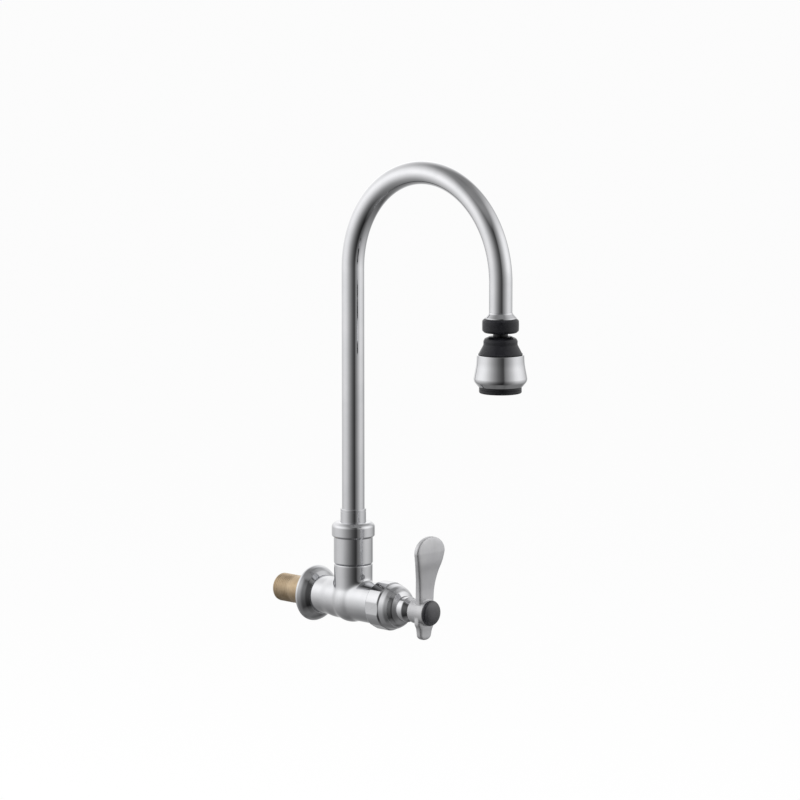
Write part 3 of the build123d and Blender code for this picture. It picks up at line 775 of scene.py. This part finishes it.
# From the collar's bottom and from its top
COLLAR_FOOT = [(1.6, 0.0, 0.8), (0.1, 1.5, 1.2)]
COLLAR_CROWN = [(0.1, -1.3, 1.2), (1.5, 0.0, 0.8)]


def swivel_collar(finish):
    """Moulded nut of the ball joint, with a mould line round its middle."""
    radius, bottom, top = upright("swivel_collar")
    middle = (bottom + top) / 2
    bm = bmesh.new()
    turned(bm, [
        (COLLAR_LIP, bottom, 0.3),
        *curve(radius, bottom, COLLAR_FOOT),
        *groove(radius, middle, 0.3, 0.15),
        *curve(radius, top, COLLAR_CROWN),
        (COLLAR_THREAD, top, 0),
        (COLLAR_THREAD, bottom + COLLAR_FLOOR, 0),
        (COLLAR_LIP, bottom + COLLAR_FLOOR, 0.3),
    ])
    piece("joint_collar", bm, "spout", "black_plastic", finish, "swivel_collar", place=OUTLET)


BALL_NECK = 5.4
STUD_SHANK = 5.0
STUD_BORE = 3.0
BALL_STEPS = 16


def ball_stud(finish):
    """Ball, neck and screwed shank of the joint, bored for the water."""
    radius, bottom, top = upright("ball_stud")
    _, _, cap_top = upright("head_cap")
    middle = top - math.sqrt(radius**2 - STUD_BORE**2)
    neck_top = middle - math.sqrt(radius**2 - BALL_NECK**2)
    bm = bmesh.new()
    line = [(STUD_BORE, top, 0)]
    start, end = math.acos(STUD_BORE / radius), -math.acos(BALL_NECK / radius)
    for step in range(1, BALL_STEPS):
        turn = start + (end - start) * step / BALL_STEPS
        line.append((radius * math.cos(turn), middle + radius * math.sin(turn), 0))
    line += [
        (BALL_NECK, neck_top, 0.4),
        (BALL_NECK, cap_top, 0),
        (STUD_SHANK, cap_top, 0),
        (STUD_SHANK, bottom, 0.2),
        (STUD_BORE, bottom, 0),
    ]
    turned(bm, line)
    piece("ball_and_neck", bm, "head", "black_plastic", finish, "ball_stud", place=OUTLET)


CAP_TOP = 8.0
CAP_SHOULDER = 12.3
# From the shoulder's radius and the cap's top, down to the waist
CAP_CROWN = [(0.9, -1.5, 2.2), (-0.1, -3.4, 2.0), (0.0, -6.0, 2.0)]
CAP_HEIGHT = 13.1
CAP_RIM = 16.0
CAP_SKIRT = 14.4
CAP_SKIRT_WALL = 1.8
CAP_ROOF = 8.5


def head_cap(finish):
    """Upper shell of the spray head: a crowned top, a waist, a flared skirt and a guide for the bell."""
    _, bottom, top = upright("head_cap")
    rim = top - CAP_HEIGHT
    bore = STUD_SHANK + FIT
    bm = bmesh.new()
    turned(bm, [
        (bore, top, 0),
        (CAP_TOP, top, 1.0),
        *curve(CAP_SHOULDER, top, CAP_CROWN),
        (CAP_RIM - 0.5, rim + 0.9, 1.0),
        (CAP_RIM, rim + 0.6, 0.3),
        (CAP_RIM, rim, 0.15),
        (CAP_SKIRT, rim, 0),
        (CAP_SKIRT, bottom, 0.3),
        (CAP_SKIRT - CAP_SKIRT_WALL, bottom, 0),
        (CAP_SKIRT - CAP_SKIRT_WALL, top - CAP_ROOF, 1.0),
        (bore, top - CAP_ROOF, 0),
    ])
    piece("head_shell", bm, "head", "black_plastic", finish, "head_cap", place=OUTLET)


BELL_GUIDE = 14.46
BELL_TOP = 17.1
BELL_WAIST = 17.5
BELL_WAIST_DROP = 7.0
BELL_FLARE_DROP = 18.6
BELL_FLARE_CORNER = 0.4
BELL_MOUTH = 16.1
BELL_BORE = 15.0
BELL_WALL = 1.5
BELL_LIP = 4.0
FACE_RIM = 5.0


def spray_bell(finish):
    """Bright bell of the spray head, flared to a soft edge above its mouth."""
    radius, bottom, top = upright("spray_bell")
    # The rounding cuts the corner of the flare back to the node's radius
    radius += BELL_FLARE_CORNER
    bm = bmesh.new()
    turned(bm, [
        (BELL_GUIDE, top, 0),
        (BELL_TOP, top, 0.5),
        (BELL_WAIST, top - BELL_WAIST_DROP, 30.0),
        (radius, top - BELL_FLARE_DROP, 4.2),
        (BELL_MOUTH, bottom, 0.3),
        (BELL_BORE, bottom, 0),
        (BELL_BORE, bottom + FACE_RIM, 0),
        (radius - BELL_WALL - 0.3, top - BELL_FLARE_DROP, 0.8),
        (BELL_WAIST - BELL_WALL, top - BELL_WAIST_DROP, 8.0),
        (BELL_GUIDE + 0.4, top - BELL_LIP, 0),
        (BELL_GUIDE, top - BELL_LIP, 0),
    ])
    piece("bell_shell", bm, "bell", "polished_chrome", finish, "spray_bell", place=OUTLET)


FACE_RIM_WALL = 1.6
FACE_HUB_WALL = 1.6
FACE_FLOOR = 4.7
FACE_GROOVE = 2.75
HUB_BORE_RADIUS = 6.36
NOZZLE_COUNT = 20
NOZZLE_CIRCLE = 11.0
NOZZLE_BORE = 0.7
NOZZLE_RECESS = 0.9
NOZZLE_RIM = 0.45
NOZZLE_FOOT = 0.75
NOZZLE_SUNK = 0.8


def spray_face(finish):
    """Face under the bell: a recessed ring of small nozzles round the aerator's mouth."""
    radius, bottom, top = upright("spray_face")
    floor = bottom + FACE_FLOOR
    recess = bottom + NOZZLE_RECESS
    rim = BELL_BORE - FIT
    bm = bmesh.new()
    turned(bm, [
        (HUB_BORE_RADIUS, bottom, 0.2),
        (HUB_BORE_RADIUS + 1.5, bottom, 0.4),
        (HUB_BORE_RADIUS + 2.0, recess, 0.3),
        (radius - 2.6, recess, 0.3),
        (radius - 2.1, bottom, 0.4),
        (radius, bottom, 1.1),
        *groove(radius, bottom + FACE_GROOVE, 0.15, 0.15),
        (radius, floor, 0.2),
        (rim, floor, 0),
        (rim, floor + FACE_RIM, 0),
        (rim - FACE_RIM_WALL, floor + FACE_RIM, 0),
        (rim - FACE_RIM_WALL, floor, 1.0),
        (HUB_BORE_RADIUS + FACE_HUB_WALL, floor, 1.0),
        (HUB_BORE_RADIUS + FACE_HUB_WALL, top, 0),
        (HUB_BORE_RADIUS, top, 0),
    ])
    for index in range(NOZZLE_COUNT):
        turn = math.tau * index / NOZZLE_COUNT
        nozzle = turned(bm, [
            (0, recess + NOZZLE_SUNK, 0),
            (0, recess, 0),
            (NOZZLE_BORE, recess, 0),
            (NOZZLE_BORE, bottom, 0.1),
            (NOZZLE_BORE + NOZZLE_RIM, bottom, 0.15),
            (NOZZLE_BORE + NOZZLE_FOOT, recess + 0.2, 0),
            (NOZZLE_BORE + NOZZLE_FOOT, recess + NOZZLE_SUNK, 0),
        ], steps=SMALL_TURN_STEPS)
        spot = Vector((math.cos(turn), math.sin(turn), 0)) * NOZZLE_CIRCLE * MM
        bmesh.ops.translate(bm, verts=nozzle, vec=spot)
    piece("nozzle_face", bm, "bell", "black_plastic", finish, "spray_face", place=OUTLET)


# Materials

# Where a noise pattern is taken to be at its lowest and at its highest
PATTERN_LOW = 0.3
PATTERN_HIGH = 0.7


def new_material(name, metallic=0.0):
    """A node material, its tree and shader, and the object coordinates for its patterns."""
    material = bpy.data.materials.new(name)
    material.use_nodes = True
    tree = material.node_tree
    shader = tree.nodes["Principled BSDF"]
    shader.inputs["Metallic"].default_value = metallic
    place = tree.nodes.new("ShaderNodeTexCoord").outputs["Object"]
    return material, tree, shader, place


def noise(tree, place, scale, detail=3.0):
    """A noise pattern with so many waves to a metre."""
    node = tree.nodes.new("ShaderNodeTexNoise")
    node.inputs["Scale"].default_value = scale
    node.inputs["Detail"].default_value = detail
    tree.links.new(place, node.inputs["Vector"])
    return node.outputs["Fac"]


def stretched(tree, place, scale):
    """Coordinates that are stretched by a factor for each axis."""
    node = tree.nodes.new("ShaderNodeMapping")
    node.inputs["Scale"].default_value = scale
    tree.links.new(place, node.inputs["Vector"])
    return node.outputs["Vector"]


def spread(tree, value, low, high, low_in=PATTERN_LOW, high_in=PATTERN_HIGH):
    """Map a pattern to a range of numbers."""
    node = tree.nodes.new("ShaderNodeMapRange")
    node.inputs["From Min"].default_value = low_in
    node.inputs["From Max"].default_value = high_in
    node.inputs["To Min"].default_value = low
    node.inputs["To Max"].default_value = high
    tree.links.new(value, node.inputs["Value"])
    return node.outputs["Result"]


def colours(tree, value, stops):
    """A colour ramp with (place, colour) stops."""
    node = tree.nodes.new("ShaderNodeValToRGB")
    ramp = node.color_ramp
    for place, _ in stops[1:-1]:
        ramp.elements.new(place)
    for element, (place, colour) in zip(ramp.elements, sorted(stops)):
        element.position = place
        element.color = (*colour, 1)
    tree.links.new(value, node.inputs["Fac"])
    return node.outputs["Color"]


def patchy(tree, pattern, dark, light):
    """A colour between two that follows a pattern."""
    return colours(tree, pattern, [(PATTERN_LOW, dark), (PATTERN_HIGH, light)])


def bump(tree, value, strength, depth):
    """A bump of so many metres, given as a normal."""
    node = tree.nodes.new("ShaderNodeBump")
    node.inputs["Strength"].default_value = strength
    node.inputs["Distance"].default_value = depth
    tree.links.new(value, node.inputs["Height"])
    return node.outputs["Normal"]


def chrome(name, dark, bright, smooth, dull, ripple):
    """Plated metal: a faint cloud in its colour, wiped patches in its gloss, a ripple in the plate."""
    material, tree, shader, place = new_material(name, metallic=1.0)
    cloud = noise(tree, place, scale=70)
    tree.links.new(patchy(tree, cloud, dark, bright), shader.inputs["Base Color"])
    wiped = noise(tree, stretched(tree, place, (1, 1, 0.35)), scale=220, detail=5)
    tree.links.new(spread(tree, wiped, smooth, dull), shader.inputs["Roughness"])
    waves = noise(tree, place, scale=160, detail=1)
    tree.links.new(bump(tree, waves, strength=0.35, depth=ripple), shader.inputs["Normal"])
    return material


def brass():
    """Turned brass, unplated: golden, with fine lines round it and duller patches."""
    material, tree, shader, place = new_material("turned_brass", metallic=1.0)
    cloud = noise(tree, place, scale=130, detail=4)
    golden = patchy(tree, cloud, dark=(0.40, 0.30, 0.19), light=(0.52, 0.41, 0.28))
    tree.links.new(golden, shader.inputs["Base Color"])
    lines = noise(tree, stretched(tree, place, (1, 40, 1)), scale=60, detail=2)
    tree.links.new(spread(tree, lines, low=0.30, high=0.44), shader.inputs["Roughness"])
    tree.links.new(bump(tree, lines, strength=0.3, depth=0.01 * MM), shader.inputs["Normal"])
    return material


def moulded(name, dark, light, smooth, dull, shine=0.5, grain_depth=0.02):
    """Moulded plastic or rubber with a fine grain."""
    material, tree, shader, place = new_material(name)
    shader.inputs["Specular IOR Level"].default_value = shine
    cloud = noise(tree, place, scale=260, detail=4)
    tree.links.new(patchy(tree, cloud, dark, light), shader.inputs["Base Color"])
    tree.links.new(spread(tree, cloud, smooth, dull), shader.inputs["Roughness"])
    grain = noise(tree, place, scale=2600, detail=2)
    tree.links.new(bump(tree, grain, strength=0.25, depth=grain_depth * MM), shader.inputs["Normal"])
    return material


def steel():
    """Stainless steel with a fine brushed grain."""
    material, tree, shader, place = new_material("stainless_steel", metallic=1.0)
    lines = noise(tree, stretched(tree, place, (30, 1, 30)), scale=90)
    brushed = patchy(tree, lines, dark=(0.48, 0.48, 0.50), light=(0.60, 0.60, 0.61))
    tree.links.new(brushed, shader.inputs["Base Color"])
    tree.links.new(spread(tree, lines, low=0.25, high=0.38), shader.inputs["Roughness"])
    return material


finishes = {
    "polished_chrome": chrome(
        "polished_chrome", (0.58, 0.585, 0.60), (0.63, 0.63, 0.645),
        smooth=0.03, dull=0.09, ripple=0.008 * MM),
    "lever_chrome": chrome(
        "lever_chrome", (0.62, 0.62, 0.635), (0.68, 0.68, 0.69),
        smooth=0.50, dull=0.58, ripple=0.02 * MM),
    "plain_brass": brass(),
    "black_plastic": moulded(
        "black_plastic", (0.006, 0.006, 0.008), (0.012, 0.012, 0.015),
        smooth=0.25, dull=0.40, shine=0.3),
    "white_plastic": moulded(
        "white_plastic", (0.60, 0.60, 0.58), (0.70, 0.70, 0.68), smooth=0.38, dull=0.50),
    "rubber": moulded(
        "rubber", (0.014, 0.014, 0.014), (0.024, 0.024, 0.024), smooth=0.60, dull=0.75),
    "stainless_steel": steel(),
    "ceramic": moulded(
        "ceramic", (0.74, 0.73, 0.70), (0.82, 0.81, 0.78), smooth=0.12, dull=0.22),
}
# The lever's cap alone is polished, and its near-black colour is painted shade for the dark reflection on
# the cap
glossy_painted_dark = moulded(
    "glossy_painted_dark", (0.010, 0.010, 0.013), (0.018, 0.018, 0.022),
    smooth=0.08, dull=0.14, shine=1.0, grain_depth=0.003)


# The faucet

for part in frame["record"]["subparts"]:
    slots = frame["nodes"][part["node"]].data.materials
    slots.clear()
    slots.append(finishes[part["material_slot"]])

chrome_plate = finishes["polished_chrome"]
black = finishes["black_plastic"]

inlet_nipple(finishes["plain_brass"])
wall_flange(chrome_plate)
grip_ring(finishes["rubber"])
valve_body(chrome_plate)
bonnet_nut(chrome_plate)
stem_dome(chrome_plate)
lever(finishes["lever_chrome"])
screw_cap(glossy_painted_dark)
spout_nut(chrome_plate)
spout_sleeve(chrome_plate)
gooseneck(chrome_plate)
outlet_tip(chrome_plate)
swivel_collar(black)
ball_stud(black)
head_cap(black)
spray_bell(chrome_plate)
spray_face(black)


# Studio

FLOOR_LEVEL = -0.35
FLOOR_HALF = 20
FLOOR_GLOW = 0.94
FILL_LIGHT = 0.55
STUDIO_CENTRE = Vector((0.0, -0.1, 0.0))
VIEW_AZIMUTH = -45.7
CAMERA_LENS = 183.4
CAMERA_SENSOR = 36
LOOK_AT = Vector((-0.00365, -0.09351, 0.15638))
LOOK_FROM = Vector((-2.1272, -2.1731, 0.5624))
TENT_RADIUS = 1.0
TENT_BRIGHTEST = 1.5

# Brightness of the tent round the object, by degrees to the right of the middle of the view
TENT_ROUND = [
    (-180, 0.95), (-150, 0.82), (-127, 0.85), (-105, 1.0), (-85, 1.0), (-67, 0.87), (-52, 0.65),
    (-37, 0.44), (-22, 0.27), (-7, 0.14), (6, 0.075), (14, 0.055), (17, 0.07), (22, 0.18),
    (37, 0.36), (52, 0.57), (67, 0.83), (82, 0.97), (97, 0.95), (112, 0.84), (127, 0.70),
    (144, 0.42), (160, 0.70), (180, 0.95),
]
# Brightness of the tent at its sides, by degrees above the horizon
TENT_HEIGHT = [
    (-90, 0.20), (-70, 0.23), (-55, 0.28), (-42, 0.35), (-30, 0.46), (-18, 0.66), (-8, 0.86),
    (2, 1.06), (11, 1.26), (20, 1.44), (28, 1.50), (37, 1.42), (45, 1.24), (54, 0.98),
    (62, 0.72), (70, 0.46), (78, 0.33), (90, 0.25),
]
# How far the dark side of the tent lightens towards its top and bottom
TENT_FADE = [(0, 0.0), (45, 0.0), (80, 1.0), (90, 1.0)]


def towards(azimuth, elevation):
    """The direction from the object to a place at that azimuth and elevation, in degrees."""
    a, e = math.radians(azimuth), math.radians(elevation)
    return Vector((math.sin(a) * math.cos(e), -math.cos(a) * math.cos(e), math.sin(e)))


def stage_object(name, bm, material):
    """A piece of the studio, which is no part of the faucet."""
    obj = mesh_object(bm, name)
    bm.free()
    obj.data.materials.append(material)
    return obj


def only_mirrored(obj):
    """Let a piece of the studio show in polished surfaces alone."""
    obj.visible_camera = False
    obj.visible_diffuse = False
    obj.visible_shadow = False
    obj.visible_transmission = False


def calculated(tree, operation, *values):
    """The result of a Math node on sockets or numbers."""
    node = tree.nodes.new("ShaderNodeMath")
    node.operation = operation
    for socket, value in zip(node.inputs, values):
        if isinstance(value, (int, float)):
            socket.default_value = value
        else:
            tree.links.new(value, socket)
    return node.outputs["Value"]


SEEN_RAYS = ("Is Camera Ray", "Is Glossy Ray", "Is Transmission Ray")


def seen(tree):
    """1 where the ray shows what it meets."""
    path = tree.nodes.new("ShaderNodeLightPath")
    found = path.outputs[SEEN_RAYS[0]]
    for kind in SEEN_RAYS[1:]:
        found = calculated(tree, "MAXIMUM", found, path.outputs[kind])
    return found


def ramped(tree, value, low, high, stops):
    """A number by (place, number) stops between a low and a high place."""
    share = spread(tree, value, 0.0, 1.0, low, high)
    return colours(tree, share, [((place - low) / (high - low), (number,) * 3) for place, number in stops])


def mixed(tree, share, first, second):
    """A mix of two shaders."""
    node = tree.nodes.new("ShaderNodeMixShader")
    for socket, value in zip(node.inputs, (share, first, second)):
        tree.links.new(value, socket)
    return node.outputs[0]


def tent_cloth():
    """The tent's glow: dark towards the camera, overhead and underfoot, bright to the sides and behind."""
    material = bpy.data.materials.new("tent_cloth")
    material.use_nodes = True
    tree = material.node_tree
    tree.nodes.clear()
    centred = tree.nodes.new("ShaderNodeMapping")
    centred.inputs["Location"].default_value = -STUDIO_CENTRE
    tree.links.new(tree.nodes.new("ShaderNodeTexCoord").outputs["Object"], centred.inputs["Vector"])
    turned_to_view = tree.nodes.new("ShaderNodeVectorRotate")
    turned_to_view.rotation_type = "Z_AXIS"
    turned_to_view.inputs["Angle"].default_value = -math.radians(VIEW_AZIMUTH)
    tree.links.new(centred.outputs["Vector"], turned_to_view.inputs["Vector"])
    axes = tree.nodes.new("ShaderNodeSeparateXYZ")
    tree.links.new(turned_to_view.outputs["Vector"], axes.inputs[0])
    ahead = calculated(tree, "MULTIPLY", axes.outputs["Y"], -1.0)
    turn = calculated(tree, "DEGREES", calculated(tree, "ARCTAN2", axes.outputs["X"], ahead))
    rise = calculated(tree, "DEGREES", calculated(tree, "ARCSINE", calculated(
        tree, "DIVIDE", axes.outputs["Z"], TENT_RADIUS)))
    steep = ramped(tree, calculated(tree, "ABSOLUTE", rise), 0, 90, TENT_FADE)
    round_level = ramped(tree, turn, -180, 180, TENT_ROUND)
    heights = [(place, value / TENT_BRIGHTEST) for place, value in TENT_HEIGHT]
    height_level = ramped(tree, rise, -90, 90, heights)
    lightened = calculated(tree, "MAXIMUM", round_level, steep)
    share = calculated(tree, "MULTIPLY", lightened, height_level)
    glow = tree.nodes.new("ShaderNodeEmission")
    tree.links.new(calculated(tree, "MULTIPLY", share, TENT_BRIGHTEST), glow.inputs["Strength"])
    output = tree.nodes.new("ShaderNodeOutputMaterial")
    tree.links.new(glow.outputs[0], output.inputs["Surface"])
    return material


def light_tent():
    """A round tent of soft light that only polished surfaces show."""
    bm = bmesh.new()
    bmesh.ops.create_uvsphere(
        bm, u_segments=SPHERE_SIDES, v_segments=SPHERE_RINGS, radius=TENT_RADIUS,
        matrix=Matrix.Translation(STUDIO_CENTRE),
    )
    only_mirrored(stage_object("light_tent", bm, tent_cloth()))


def white_background(tree, strength):
    """White light of that strength from all sides."""
    node = tree.nodes.new("ShaderNodeBackground")
    node.inputs["Color"].default_value = (1, 1, 1, 1)
    node.inputs["Strength"].default_value = strength
    return node.outputs[0]


def white_world():
    """White where it is seen, and a softer even light on the object."""
    world = bpy.data.worlds.new("studio_world")
    bpy.context.scene.world = world
    world.use_nodes = True
    tree = world.node_tree
    tree.nodes.clear()
    backdrop = mixed(tree, seen(tree), white_background(tree, FILL_LIGHT), white_background(tree, 1.0))
    output = tree.nodes.new("ShaderNodeOutputWorld")
    tree.links.new(backdrop, output.inputs["Surface"])


def studio_floor():
    """A pale floor that turns white where it is seen and keeps a soft shadow."""
    material = bpy.data.materials.new("pale_floor")
    material.use_nodes = True
    tree = material.node_tree
    paint = tree.nodes["Principled BSDF"]
    paint.inputs["Base Color"].default_value = (0.9, 0.9, 0.9, 1)
    paint.inputs["Roughness"].default_value = 0.9
    glow = tree.nodes.new("ShaderNodeEmission")
    glow.inputs["Strength"].default_value = 1.0
    share = calculated(tree, "MULTIPLY", seen(tree), FLOOR_GLOW)
    surface = mixed(tree, share, paint.outputs[0], glow.outputs[0])
    tree.links.new(surface, tree.nodes["Material Output"].inputs["Surface"])
    bm = bmesh.new()
    bmesh.ops.create_grid(bm, x_segments=1, y_segments=1, size=FLOOR_HALF)
    bmesh.ops.translate(bm, verts=bm.verts, vec=(0, 0, FLOOR_LEVEL))
    floor = stage_object("floor", bm, material)
    floor.visible_glossy = False


def aimed(name, data, spot, away):
    """A lamp or camera at a spot, which faces against the direction away."""
    obj = linked(name, data)
    obj.location = spot
    obj.rotation_mode = "QUATERNION"
    obj.rotation_quaternion = away.to_track_quat("Z", "Y")
    return obj


def softbox(name, azimuth, elevation, distance, size, power):
    """A soft lamp that polished surfaces don't show, in metres and watts."""
    lamp = bpy.data.lights.new(name, "AREA")
    lamp.shape = "RECTANGLE"
    lamp.size, lamp.size_y = size
    lamp.energy = power
    away = towards(azimuth, elevation)
    obj = aimed(name, lamp, STUDIO_CENTRE + away * distance, away)
    obj.visible_glossy = False


def camera():
    """The camera that was fitted to the photograph."""
    data = bpy.data.cameras.new("camera")
    data.lens = CAMERA_LENS
    data.sensor_width = CAMERA_SENSOR
    bpy.context.scene.camera = aimed("camera", data, LOOK_FROM, LOOK_FROM - LOOK_AT)


white_world()
studio_floor()
light_tent()
softbox("left_softbox", azimuth=-140, elevation=28, distance=1.6, size=(1.0, 0.6), power=18)
softbox("top_softbox", azimuth=-20, elevation=70, distance=1.8, size=(1.2, 1.2), power=25)
camera()

bpy.context.scene.view_settings.view_transform = "Standard"
